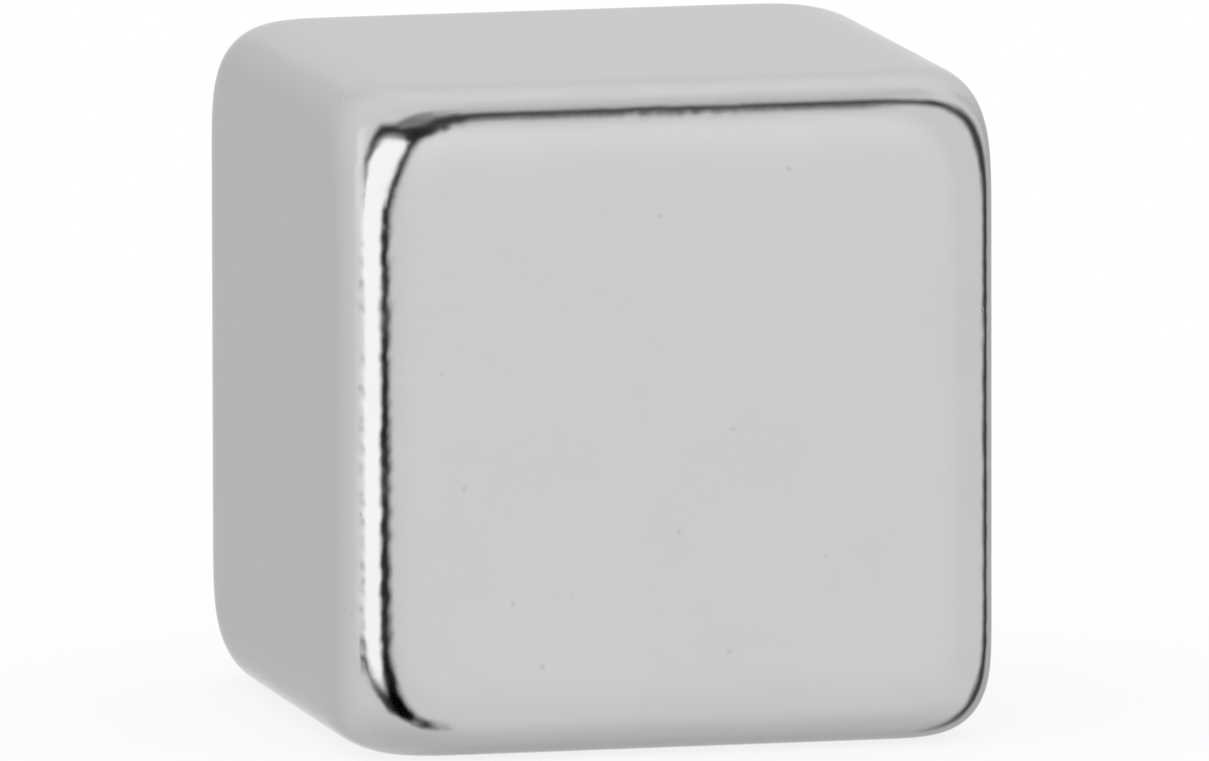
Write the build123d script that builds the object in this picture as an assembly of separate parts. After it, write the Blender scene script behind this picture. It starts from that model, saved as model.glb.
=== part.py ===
from build123d import *
from itertools import product
from math import sqrt
import os

# Block magnet: one solid block of sintered magnet alloy, tumbled, then plated all over.
# Millimetres. Z is up and the block rests on Z = 0, with the origin at the middle of that face.
# The front face looks along -Y, and X runs to the right across it.

# The block, face to face
width = 5.0
depth = 5.0
height = 5.0

# The round that tumbling leaves along each of the twelve edges
edge_radius = 0.38

# The ball that each of the eight corners is worn to, larger than the round along the edges
corner_radius = 1.2

# How much deeper each corner is worn, along its diagonal, than the edge round alone would reach
corner_wear = 0.13


def sharp_core():
    """The block without its outer skin, which is one edge radius thick."""
    skin = 2 * edge_radius
    return Box(width - skin, depth - skin, height - skin)


def corner_waste(corner, inward):
    """What tumbling takes off one corner of the core: all that is near it and outside the ball it wears to."""
    ball_radius = corner_radius - edge_radius
    ball_inset = (corner_wear + ball_radius) / sqrt(3)
    near_corner = Pos(corner) * Box(2 * ball_inset, 2 * ball_inset, 2 * ball_inset)
    worn_ball = Pos(corner + inward * ball_inset) * Sphere(ball_radius)
    return near_corner - worn_ball


def worn_core():
    """The core with all eight corners worn back to balls."""
    core = sharp_core()
    corner_x = width / 2 - edge_radius
    corner_y = depth / 2 - edge_radius
    corner_z = height / 2 - edge_radius
    for x_side, y_side, z_side in product((-1, 1), repeat=3):
        corner = Vector(x_side * corner_x, y_side * corner_y, z_side * corner_z)
        core -= corner_waste(corner, Vector(-x_side, -y_side, -z_side))
    return core


def tumbled_block():
    """The core in its skin, which rounds every edge and runs on smoothly over the rounder corners."""
    block = offset(worn_core(), amount=edge_radius, kind=Kind.ARC)
    return Pos(0, 0, height / 2) * block


magnet = tumbled_block()
magnet.label = "magnet"

os.makedirs("parts", exist_ok=True)
export_step(magnet, "parts/magnet.step")
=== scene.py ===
import math

import bpy
import numpy as np
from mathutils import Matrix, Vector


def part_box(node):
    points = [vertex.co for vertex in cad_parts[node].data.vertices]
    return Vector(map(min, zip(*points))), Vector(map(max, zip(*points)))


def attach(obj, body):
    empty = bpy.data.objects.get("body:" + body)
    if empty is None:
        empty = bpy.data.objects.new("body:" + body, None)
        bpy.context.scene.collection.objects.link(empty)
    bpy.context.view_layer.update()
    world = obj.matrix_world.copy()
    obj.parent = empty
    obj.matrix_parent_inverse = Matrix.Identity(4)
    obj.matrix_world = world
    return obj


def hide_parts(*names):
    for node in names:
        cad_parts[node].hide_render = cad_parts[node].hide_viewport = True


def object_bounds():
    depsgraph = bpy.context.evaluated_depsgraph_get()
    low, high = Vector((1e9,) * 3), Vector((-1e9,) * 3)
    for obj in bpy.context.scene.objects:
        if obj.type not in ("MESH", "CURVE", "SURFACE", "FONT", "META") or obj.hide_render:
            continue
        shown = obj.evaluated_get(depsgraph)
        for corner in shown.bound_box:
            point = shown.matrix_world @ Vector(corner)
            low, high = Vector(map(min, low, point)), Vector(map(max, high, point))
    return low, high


# Looks of the block magnet. Metres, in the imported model's frame: Z is up and the front looks towards -Y.
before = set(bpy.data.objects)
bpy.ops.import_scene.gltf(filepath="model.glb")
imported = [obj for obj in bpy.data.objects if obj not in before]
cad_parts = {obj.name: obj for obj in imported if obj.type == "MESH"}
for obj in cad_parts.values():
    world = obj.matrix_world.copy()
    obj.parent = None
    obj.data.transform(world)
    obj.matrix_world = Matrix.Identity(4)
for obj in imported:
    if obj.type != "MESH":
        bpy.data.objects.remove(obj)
cad_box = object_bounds()

MM = 0.001

# Form of the worn block, from a fit to the photograph's outline and reflections. Each edge's round runs out
# softly into the flats, over this much of them.
ROUND_REACH = 0.771 * MM
ROUND_POWER = 3.716
# Each corner is worn towards a plane across it, this deep below the sharp corner, over a reach of its own.
CORNER_DEPTH = 0.245 * MM
CORNER_REACH = 0.601 * MM
# Tumbling wore the front lower right corner less. It lies on these sides of the middle along X, Y and Z.
SHARPER_CORNER = (1, -1, -1)
SHARPER_DEPTH = 0.18 * MM
# A cube's diagonal, in sides
DIAGONAL = math.sqrt(3)
# The mesh's steps over each round and each flat
ROUND_STEPS = 30
FLAT_STEPS = 44
# Places that agree to this are one point of the mesh
SAME_PLACE = 0.0001 * MM
# The worn surface is looked for by halving, between this share of the way out from the middle and all of it
DEEPEST_SHARE = 0.5
HALVINGS = 40

# Slight unevenness that tumbling leaves in the flats
WAVE_SEED = 4
WAVE_COUNT = 14
WAVE_LENGTHS = (0.9 * MM, 3.2 * MM)
WAVE_HEIGHT = 0.0012 * MM

# The photograph's camera, fitted to the outline, and far enough away to show almost no perspective. Its
# azimuth is from the front towards the left, as the studio's are.
PHOTO_WIDTH = 1209
SENSOR_WIDTH = 36.0
CAMERA_AZIMUTH = 13.252
CAMERA_ELEVATION = 8.049
CAMERA_ROLL = -0.104
CAMERA_DISTANCE = 250 * MM
CAMERA_NEAREST = CAMERA_DISTANCE / 10
CAMERA_FURTHEST = CAMERA_DISTANCE * 20
PIXELS_PER_MM = 134.195
CENTRE_RIGHT_PIXELS = -4.96
CENTRE_UP_PIXELS = 3.90

# Studio. Directions are degrees from the block: azimuth from the front towards the left, then elevation.
# Levels are shares of plain white. The floor stands in a plain white tent, and the metal reflects what hangs
# in it. The corners and points below came out of a fit to the photograph's reflections, with most widths,
# softnesses and levels. They were rounded to whole degrees, and some were then moved a little. Only shade,
# dusk and part of the rim were set one by one.
WHITE = (1, 1, 1, 1)
TENT_LEVEL = 1.0
LEFT_LEVEL = 0.785
RIGHT_LEVEL = 0.87
RIGHT_SIDE = (-90, 0)
SEAM_SOFTNESS = 6
RISE = 0.45
FRONT_LEVEL = 0.93
FRONT_AXIS = (0, 10)
FRONT_REACH = 120
FRONT_SOFTNESS = 60
LOW_LEVEL = 0.55
LOW_START = 0.5
LOW_END = 1.4
GLOW_LEVEL = 1.2
GLOW_CORNERS = ((-20, -7), (11, 12), (9, 35), (-14, 40))
GLOW_SOFTNESS = 23
CEILING_LEVEL = 0.29
CEILING_CORNERS = ((-45, 60), (-22, 48), (-2, 26), (65, 39), (67, 27), (68, 47), (67, 56), (20, 87))
CEILING_SOFTNESS = 10
SOFTBOX_LEVEL = 1.5
SOFTBOX_CORNERS = (
    (14, 33), (34, 41), (50, 44), (67, 19), (74, 8), (71, -9), (56, -17), (46, -24), (28, -18), (13, -1))
SOFTBOX_SOFTNESS = 5

# Strips in the studio, from pale to black. Each point is a direction, the strip's half width there and the
# softness of its edge.
MARGIN_LEVEL = 1.26
MARGIN_POINTS = ((103, 36, 2, 12), (89, 22, 5, 11), (84, 0, 2, 16), (70, -8, 4, 5))
SHADE_LEVEL = 0.76
SHADE_POINTS = ((-30, 72, 5, 14), (-105, 66, 5, 14))
DUSK_LEVEL = 0.66
DUSK_POINTS = (
    (-122, 32, 2, 14), (-130, 8, 4, 14), (-138, -10, 16, 10), (-146, -33, 19, 7), (-133, -60, 16, 8))
RIM_LEVEL = 0.07
RIM_POINTS = (
    (-134, -49, 5, 12), (-118, -40, 9, 9), (-108, -26, 11, 9), (-108, -8, 10, 9), (-99, 6, 11, 8),
    (-94, 20, 9, 7), (-70, 51, 6, 6), (-25, 60, 5, 7), (-9, 52, 7, 5))
HOOD_LEVEL = 0.05
HOOD_POINTS = ((2, 41, 9, 5), (30, 46, 5, 5), (62, 50, 10, 8), (70, 20, 4, 6), (68, 2, 1, 7))
EDGE_LEVEL = 0.03
EDGE_POINTS = ((9, 37, 7, 4), (7, 30, 4, 4), (12, 1, 5, 4), (18, -6, 4, 4), (22, -9, 6, 4), (23, -13, 8, 5))
FOOT_LEVEL = 0.05
FOOT_POINTS = ((32, -35, 10, 5), (43, -29, 5, 4), (61, -20, 1, 4), (70, -14, 3, 5), (79, -14, 2, 5))
FLAG_LEVEL = 0.0
FLAG_POINTS = ((18, -17, 6, 5), (22, -24, 10, 5), (17, -40, 11, 5), (12, -53, 0, 6))
GAP_POINTS = ((-1, -46, 4, 6), (-1, -52, 5, 6))

# Plating. A pattern's scale is in repeats per millimetre, and its detail is how many finer layers it has.
# Patches begin at the first of their two edge values and are full at the second.
WARM_NICKEL = (0.608, 0.606, 0.600)
COOL_NICKEL = (0.593, 0.598, 0.596)
PIT_NICKEL = (0.54, 0.54, 0.535)
# How much of a perfect mirror's glare the plate keeps at a low angle
GLARE_KEPT = (0.8, 0.8, 0.8)
TINT_SCALE = 1.4
TINT_DETAIL = 4
TINT_EDGES = (0.4, 0.6)
SHINE_SCALE = 2.6
SHINE_DETAIL = 3
SHINE_EDGES = (0.3, 0.7)
ROUGHNESS_RANGE = (0.08, 0.13)
PIT_SCALE = 3.6
PIT_SHARE = 0.6
PIT_RADIUS = 0.06
PIT_EDGE = PIT_RADIUS / 2
PIT_ROUGHNESS = 0.16
# Heights and depths are in this unit.
BUMP_UNIT = 0.001 * MM
PIT_DEPTH = 0.6
PEEL_SCALE = 3.5
PEEL_HEIGHT = 1.6
GRAIN_SCALE = 22
GRAIN_HEIGHT = 0.12
SURFACE_DETAIL = 2
NICK_SCALE = 9
NICK_HEIGHT = 3.4
NICK_PATCH_SCALE = 0.7
NICK_PATCH_EDGES = (0.3, 0.55)
NICK_DETAIL = 0

# Floor
FLOOR_SIZE = 2.0
FLOOR_WHITENESS = 0.9
FLOOR_SHADOW_SHARE = 0.22


def socket_of(item):
    """The socket itself, or a node's first output."""
    return item.outputs[0] if isinstance(item, bpy.types.Node) else item


def add(tree, kind, inputs=(), **settings):
    """A new node. Inputs are (name or place, value or socket) pairs."""
    node = tree.nodes.new(kind)
    for name, value in settings.items():
        setattr(node, name, value)
    for name, value in inputs:
        if isinstance(value, (bpy.types.Node, bpy.types.NodeSocket)):
            tree.links.new(socket_of(value), node.inputs[name])
        else:
            node.inputs[name].default_value = value
    return node


def maths(tree, operation, *values):
    """A sum on numbers."""
    return add(tree, "ShaderNodeMath", enumerate(values), operation=operation).outputs[0]


def clamped(tree, value):
    """The value, held between 0 and 1."""
    return add(tree, "ShaderNodeMath", ((0, value), (1, 0)), operation="ADD", use_clamp=True).outputs[0]


def vectors(tree, operation, *values):
    """A sum on vectors that gives a vector."""
    return add(tree, "ShaderNodeVectorMath", enumerate(values), operation=operation).outputs["Vector"]


def measure(tree, operation, *values):
    """A sum on vectors that gives a number."""
    return add(tree, "ShaderNodeVectorMath", enumerate(values), operation=operation).outputs["Value"]


def smooth_step(tree, value, none, full):
    """0 where the value is at none, 1 where it is at full, and smooth between them."""
    inputs = (("Value", value), ("From Min", none), ("From Max", full))
    return add(tree, "ShaderNodeMapRange", inputs, interpolation_type="SMOOTHSTEP").outputs[0]


def mixed(tree, share, below, above):
    """A number between the two: below at share 0, above at share 1."""
    return add(tree, "ShaderNodeMix", (("Factor", share), ("A", below), ("B", above))).outputs["Result"]


def axis_places(half):
    """Places along one axis of the sharp block, closer together over the rounds."""
    flat_end = half - ROUND_REACH
    rounded = np.linspace(flat_end, half, ROUND_STEPS + 1)
    flat = np.linspace(-flat_end, flat_end, FLAT_STEPS + 1)
    return np.concatenate([-rounded[:0:-1], flat, rounded[1:]])


def sharp_block(half):
    """The sharp block's surface as shared points and four-sided faces."""
    places, faces = [], []
    start = 0
    for axis in range(3):
        across, along = (axis + 1) % 3, (axis + 2) % 3
        grid = np.meshgrid(axis_places(half[across]), axis_places(half[along]), indexing="ij")
        index = np.arange(grid[0].size).reshape(grid[0].shape)
        loop = [index[:-1, :-1], index[1:, :-1], index[1:, 1:], index[:-1, 1:]]
        for side in (-1, 1):
            place = np.zeros((index.size, 3))
            place[:, axis] = side * half[axis]
            place[:, across] = grid[0].ravel()
            place[:, along] = grid[1].ravel()
            places.append(place)
            corners = loop if side > 0 else loop[::-1]
            faces.append(np.stack([corner.ravel() for corner in corners], 1) + start)
            start += index.size
    places = np.concatenate(places)
    cells = np.round(places / SAME_PLACE).astype(int)
    _, first, shared = np.unique(cells, axis=0, return_index=True, return_inverse=True)
    return places[first], shared.ravel()[np.concatenate(faces)]


def wear_level(away, half, depths):
    """How far out each place lies in the wear. The worn surface is where this is the round's reach.

    away is the distance from the middle along each axis, and depths are the wear of the nearest corners.
    """
    past_flats = np.maximum(away - (half - ROUND_REACH), 0) ** ROUND_POWER
    corner_plane = half.sum() / DIAGONAL - depths
    past_plane = away.sum(1) / DIAGONAL - (corner_plane - CORNER_REACH)
    corner = (np.maximum(past_plane, 0) * ROUND_REACH / CORNER_REACH) ** ROUND_POWER
    return (past_flats.sum(1) + corner) ** (1 / ROUND_POWER)


def worn_shares(places, half):
    """How far out from the middle the worn surface lies, as a share of the way to each sharp place."""
    away = np.abs(places)
    by_sharper = (places * SHARPER_CORNER > 0).all(1)
    depths = np.where(by_sharper, SHARPER_DEPTH, CORNER_DEPTH)
    low = np.full(len(places), DEEPEST_SHARE)
    high = np.ones(len(places))
    for _ in range(HALVINGS):
        middle = (low + high) / 2
        outside = wear_level(away * middle[:, None], half, depths) > ROUND_REACH
        high = np.where(outside, middle, high)
        low = np.where(outside, low, middle)
    return low


def rounding(points, half):
    """0 on the flats, up to 1 along the middle of each round."""
    gaps = np.sort(half - np.abs(points), axis=1)
    return np.clip(1 - gaps[:, 1] / ROUND_REACH, 0, 1)


def unevenness(points):
    """A smooth random swell between 0 and 1 over the block."""
    draw = np.random.default_rng(WAVE_SEED)
    swell = np.zeros(len(points))
    for length in np.geomspace(*WAVE_LENGTHS, WAVE_COUNT):
        heading = draw.normal(size=3)
        heading *= 2 * math.pi / length / np.linalg.norm(heading)
        swell += np.sin(points @ heading + draw.uniform(0, 2 * math.pi))
    return (swell / np.abs(swell).max() + 1) / 2


def worn_block():
    """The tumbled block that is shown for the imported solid."""
    low, high = (np.array(corner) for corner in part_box("magnet"))
    half = (high - low) / 2
    places, faces = sharp_block(half)
    points = places * worn_shares(places, half)[:, None]
    inward = -points / np.linalg.norm(points, axis=1, keepdims=True)
    points += inward * (WAVE_HEIGHT * unevenness(points))[:, None]
    mesh = bpy.data.meshes.new("worn_block")
    mesh.from_pydata((points + (low + high) / 2).tolist(), [], faces.tolist())
    mesh.shade_smooth()
    mesh.attributes.new("rounding", "FLOAT", "POINT").data.foreach_set("value", rounding(points, half))
    piece = bpy.data.objects.new("worn_block", mesh)
    bpy.context.scene.collection.objects.link(piece)
    return piece


def new_material(name):
    """An empty material and its tree of nodes."""
    material = bpy.data.materials.new(name)
    material.use_nodes = True
    material.node_tree.nodes.clear()
    return material, material.node_tree


def opaque(colour):
    """The colour as a socket takes it."""
    return (*colour, 1)


def per_mm(repeats):
    """A pattern's scale for coordinates in metres."""
    return repeats / MM


def pattern(tree, coords, repeats, detail):
    """A soft random pattern between 0 and 1."""
    inputs = (("Vector", coords), ("Scale", per_mm(repeats)), ("Detail", detail))
    return add(tree, "ShaderNodeTexNoise", inputs).outputs[0]


def pits(tree, coords):
    """1 in the few tiny pits of the plating, 0 elsewhere."""
    cells = add(tree, "ShaderNodeTexVoronoi", (("Vector", coords), ("Scale", per_mm(PIT_SCALE))))
    pick = add(tree, "ShaderNodeSeparateColor", ((0, cells.outputs["Color"]),))
    radius = maths(tree, "MULTIPLY", pick.outputs["Green"], PIT_RADIUS)
    inside = smooth_step(tree, maths(tree, "SUBTRACT", cells.outputs["Distance"], radius), PIT_EDGE, 0)
    chosen = maths(tree, "LESS_THAN", pick.outputs["Red"], PIT_SHARE)
    return maths(tree, "MULTIPLY", inside, chosen)


def colour_mix(tree, share, below, above):
    """A colour between the two."""
    mix = add(tree, "ShaderNodeMix", data_type="RGBA")
    for place, value in zip(("Factor_Float", "A_Color", "B_Color"), (share, below, above)):
        slot = next(item for item in mix.inputs if item.identifier == place)
        if isinstance(value, bpy.types.NodeSocket):
            tree.links.new(value, slot)
        else:
            slot.default_value = value
    return next(item for item in mix.outputs if item.identifier == "Result_Color")


def nickel():
    """Bright nickel plate, with faint warm and cool patches, tiny pits, and nicks along the rounds."""
    material, tree = new_material("nickel_plating")
    coords = add(tree, "ShaderNodeTexCoord").outputs["Object"]
    worn = add(tree, "ShaderNodeAttribute", attribute_name="rounding").outputs["Fac"]
    pit = pits(tree, coords)

    patches = smooth_step(tree, pattern(tree, coords, TINT_SCALE, TINT_DETAIL), *TINT_EDGES)
    colour = colour_mix(tree, patches, opaque(WARM_NICKEL), opaque(COOL_NICKEL))
    colour = colour_mix(tree, pit, colour, opaque(PIT_NICKEL))

    shine = smooth_step(tree, pattern(tree, coords, SHINE_SCALE, SHINE_DETAIL), *SHINE_EDGES)
    roughness = mixed(tree, pit, mixed(tree, shine, *ROUGHNESS_RANGE), PIT_ROUGHNESS)

    peel = maths(tree, "MULTIPLY", pattern(tree, coords, PEEL_SCALE, SURFACE_DETAIL), PEEL_HEIGHT)
    grain = maths(tree, "MULTIPLY", pattern(tree, coords, GRAIN_SCALE, SURFACE_DETAIL), GRAIN_HEIGHT)
    nick_patches = pattern(tree, coords, NICK_PATCH_SCALE, NICK_DETAIL)
    nicked = maths(tree, "MULTIPLY", worn, smooth_step(tree, nick_patches, *NICK_PATCH_EDGES))
    nick = maths(tree, "MULTIPLY", pattern(tree, coords, NICK_SCALE, NICK_DETAIL), nicked)
    nick = maths(tree, "MULTIPLY", nick, NICK_HEIGHT)
    height = maths(tree, "ADD", maths(tree, "ADD", peel, grain), nick)
    height = maths(tree, "MULTIPLY_ADD", pit, -PIT_DEPTH, height)
    bump = add(tree, "ShaderNodeBump", (("Distance", BUMP_UNIT), ("Height", height)))

    shader = add(tree, "ShaderNodeBsdfPrincipled", (
        ("Base Color", colour),
        ("Specular Tint", opaque(GLARE_KEPT)),
        ("Metallic", 1),
        ("Roughness", roughness),
        ("Normal", bump),
    ))
    add(tree, "ShaderNodeOutputMaterial", (("Surface", shader),))
    return material


def pointing(azimuth, elevation):
    """Unit vector of a studio direction."""
    turn, rise = math.radians(azimuth), math.radians(elevation)
    return np.array([-math.sin(turn) * math.cos(rise), -math.cos(turn) * math.cos(rise), math.sin(rise)])


def panel(tree, look, corners, softness):
    """1 in directions inside the panel with these corners, 0 outside it."""
    points = [pointing(*corner) for corner in corners]
    middle = sum(points)
    edge = math.sin(math.radians(softness))
    mask = 1.0
    for here, after in zip(points, points[1:] + points[:1]):
        side = np.cross(here, after)
        side *= math.copysign(1, side @ middle) / np.linalg.norm(side)
        inside = smooth_step(tree, measure(tree, "DOT_PRODUCT", look, side), -edge, edge)
        mask = maths(tree, "MULTIPLY", mask, inside)
    return mask


def strip(tree, look, points):
    """1 in directions on the strip through these points, 0 away from it."""
    nearest = math.pi
    for (*start, start_width, start_edge), (*end, end_width, end_edge) in zip(points, points[1:]):
        start_point = pointing(*start)
        run = pointing(*end) - start_point
        offset = vectors(tree, "SUBTRACT", look, start_point)
        share = clamped(tree, measure(tree, "DOT_PRODUCT", offset, run / (run @ run)))
        along = add(tree, "ShaderNodeVectorMath", ((0, run), ("Scale", share)), operation="SCALE")
        gap = measure(tree, "DISTANCE", offset, along.outputs["Vector"])
        half_width = maths(tree, "MULTIPLY_ADD", share, *change(start_width, end_width))
        edge = maths(tree, "MULTIPLY_ADD", share, *change(start_edge, end_edge))
        past = maths(tree, "DIVIDE", maths(tree, "SUBTRACT", gap, half_width), edge)
        nearest = maths(tree, "MINIMUM", nearest, past)
    return smooth_step(tree, nearest, 1, -1)


def change(start, end):
    """The change from start to end and the start, in radians."""
    return math.radians(end - start), math.radians(start)


def plain_surroundings(tree, look):
    """Pale in front, dimmer behind and dimmest at the left behind, brighter high up and darker below."""
    seam = math.sin(math.radians(SEAM_SOFTNESS))
    right = smooth_step(tree, measure(tree, "DOT_PRODUCT", look, pointing(*RIGHT_SIDE)), -seam, seam)
    up = add(tree, "ShaderNodeSeparateXYZ", ((0, look),)).outputs["Z"]
    lift = maths(tree, "MULTIPLY_ADD", maths(tree, "MAXIMUM", up, 0), RISE, 1)
    behind = maths(tree, "MULTIPLY", mixed(tree, right, LEFT_LEVEL, RIGHT_LEVEL), lift)
    angle = maths(tree, "ARCCOSINE", measure(tree, "DOT_PRODUCT", look, pointing(*FRONT_AXIS)))
    nearest, furthest = (math.radians(FRONT_REACH + side * FRONT_SOFTNESS) for side in (-1, 1))
    level = mixed(tree, smooth_step(tree, angle, furthest, nearest), behind, FRONT_LEVEL)
    return mixed(tree, smooth_step(tree, up, -LOW_START, -LOW_END), level, LOW_LEVEL)


def studio():
    """A plain white tent. Only the metal sees its softbox and the dark flags that give it its lines."""
    world = bpy.data.worlds.new("studio")
    bpy.context.scene.world = world
    world.use_nodes = True
    world.cycles.sampling_method = "NONE"
    tree = world.node_tree
    tree.nodes.clear()
    look = add(tree, "ShaderNodeTexCoord").outputs["Generated"]
    level = plain_surroundings(tree, look)
    for corners, softness, panel_level in (
        (GLOW_CORNERS, GLOW_SOFTNESS, GLOW_LEVEL),
        (CEILING_CORNERS, CEILING_SOFTNESS, CEILING_LEVEL),
    ):
        level = mixed(tree, panel(tree, look, corners, softness), level, panel_level)
    level = mixed(tree, strip(tree, look, MARGIN_POINTS), level, MARGIN_LEVEL)
    level = mixed(tree, panel(tree, look, SOFTBOX_CORNERS, SOFTBOX_SOFTNESS), level, SOFTBOX_LEVEL)
    for points, strip_level in (
        (SHADE_POINTS, SHADE_LEVEL),
        (DUSK_POINTS, DUSK_LEVEL),
        (RIM_POINTS, RIM_LEVEL),
        (HOOD_POINTS, HOOD_LEVEL),
        (EDGE_POINTS, EDGE_LEVEL),
        (FOOT_POINTS, FOOT_LEVEL),
        (FLAG_POINTS, FLAG_LEVEL),
        (GAP_POINTS, FLAG_LEVEL),
    ):
        level = mixed(tree, strip(tree, look, points), level, strip_level)
    reflected = add(tree, "ShaderNodeBackground", (("Color", WHITE), ("Strength", level)))
    plain = add(tree, "ShaderNodeBackground", (("Color", WHITE), ("Strength", TENT_LEVEL)))
    rays = add(tree, "ShaderNodeLightPath")
    seen = add(tree, "ShaderNodeMixShader", ((0, rays.outputs["Is Glossy Ray"]), (1, plain), (2, reflected)))
    add(tree, "ShaderNodeOutputWorld", (("Surface", seen),))


def floor_finish():
    """Plain white, with the block's shadow kept faint."""
    material, tree = new_material("floor")
    lit = add(tree, "ShaderNodeBsdfDiffuse", (("Color", opaque([FLOOR_WHITENESS] * 3)),))
    white_level = (1 - FLOOR_SHADOW_SHARE * FLOOR_WHITENESS * TENT_LEVEL) / (1 - FLOOR_SHADOW_SHARE)
    white = add(tree, "ShaderNodeEmission", (("Strength", white_level),))
    rays = add(tree, "ShaderNodeLightPath")
    share = maths(tree, "MULTIPLY", rays.outputs["Is Camera Ray"], 1 - FLOOR_SHADOW_SHARE)
    seen = add(tree, "ShaderNodeMixShader", ((0, share), (1, lit), (2, white)))
    add(tree, "ShaderNodeOutputMaterial", (("Surface", seen),))
    return material


def floor():
    """A plain pale floor. Metal shows the studio instead of it."""
    half = FLOOR_SIZE / 2
    mesh = bpy.data.meshes.new("floor")
    corners = [(-half, -half, 0), (half, -half, 0), (half, half, 0), (-half, half, 0)]
    mesh.from_pydata(corners, [], [(0, 1, 2, 3)])
    mesh.materials.append(floor_finish())
    plane = bpy.data.objects.new("floor", mesh)
    plane.visible_glossy = False
    bpy.context.scene.collection.objects.link(plane)


def camera():
    """The photograph's view of the block, from far off through a long lens."""
    turn, roll = math.radians(CAMERA_AZIMUTH), math.radians(CAMERA_ROLL)
    back = pointing(CAMERA_AZIMUTH, CAMERA_ELEVATION)
    level = np.array([math.cos(turn), -math.sin(turn), 0])
    rise = np.cross(back, level)
    right = math.cos(roll) * level + math.sin(roll) * rise
    up = math.cos(roll) * rise - math.sin(roll) * level
    low, high = (np.array(corner) for corner in cad_box)
    pixel = MM / PIXELS_PER_MM
    place = (low + high) / 2 + back * CAMERA_DISTANCE
    place -= (right * CENTRE_RIGHT_PIXELS + up * CENTRE_UP_PIXELS) * pixel
    lens = bpy.data.cameras.new("camera")
    lens.sensor_width = SENSOR_WIDTH
    lens.lens = CAMERA_DISTANCE / pixel * SENSOR_WIDTH / PHOTO_WIDTH
    lens.clip_start = CAMERA_NEAREST
    lens.clip_end = CAMERA_FURTHEST
    viewer = bpy.data.objects.new("camera", lens)
    viewer.matrix_world = [(*column, 0) for column in (right, up, back)] + [(*place, 1)]
    bpy.context.scene.collection.objects.link(viewer)
    bpy.context.scene.camera = viewer


camera()
studio()
floor()
magnet = worn_block()
magnet.data.materials.append(nickel())
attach(magnet, "root")
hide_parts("magnet")
bpy.context.scene.view_settings.view_transform = "Standard"
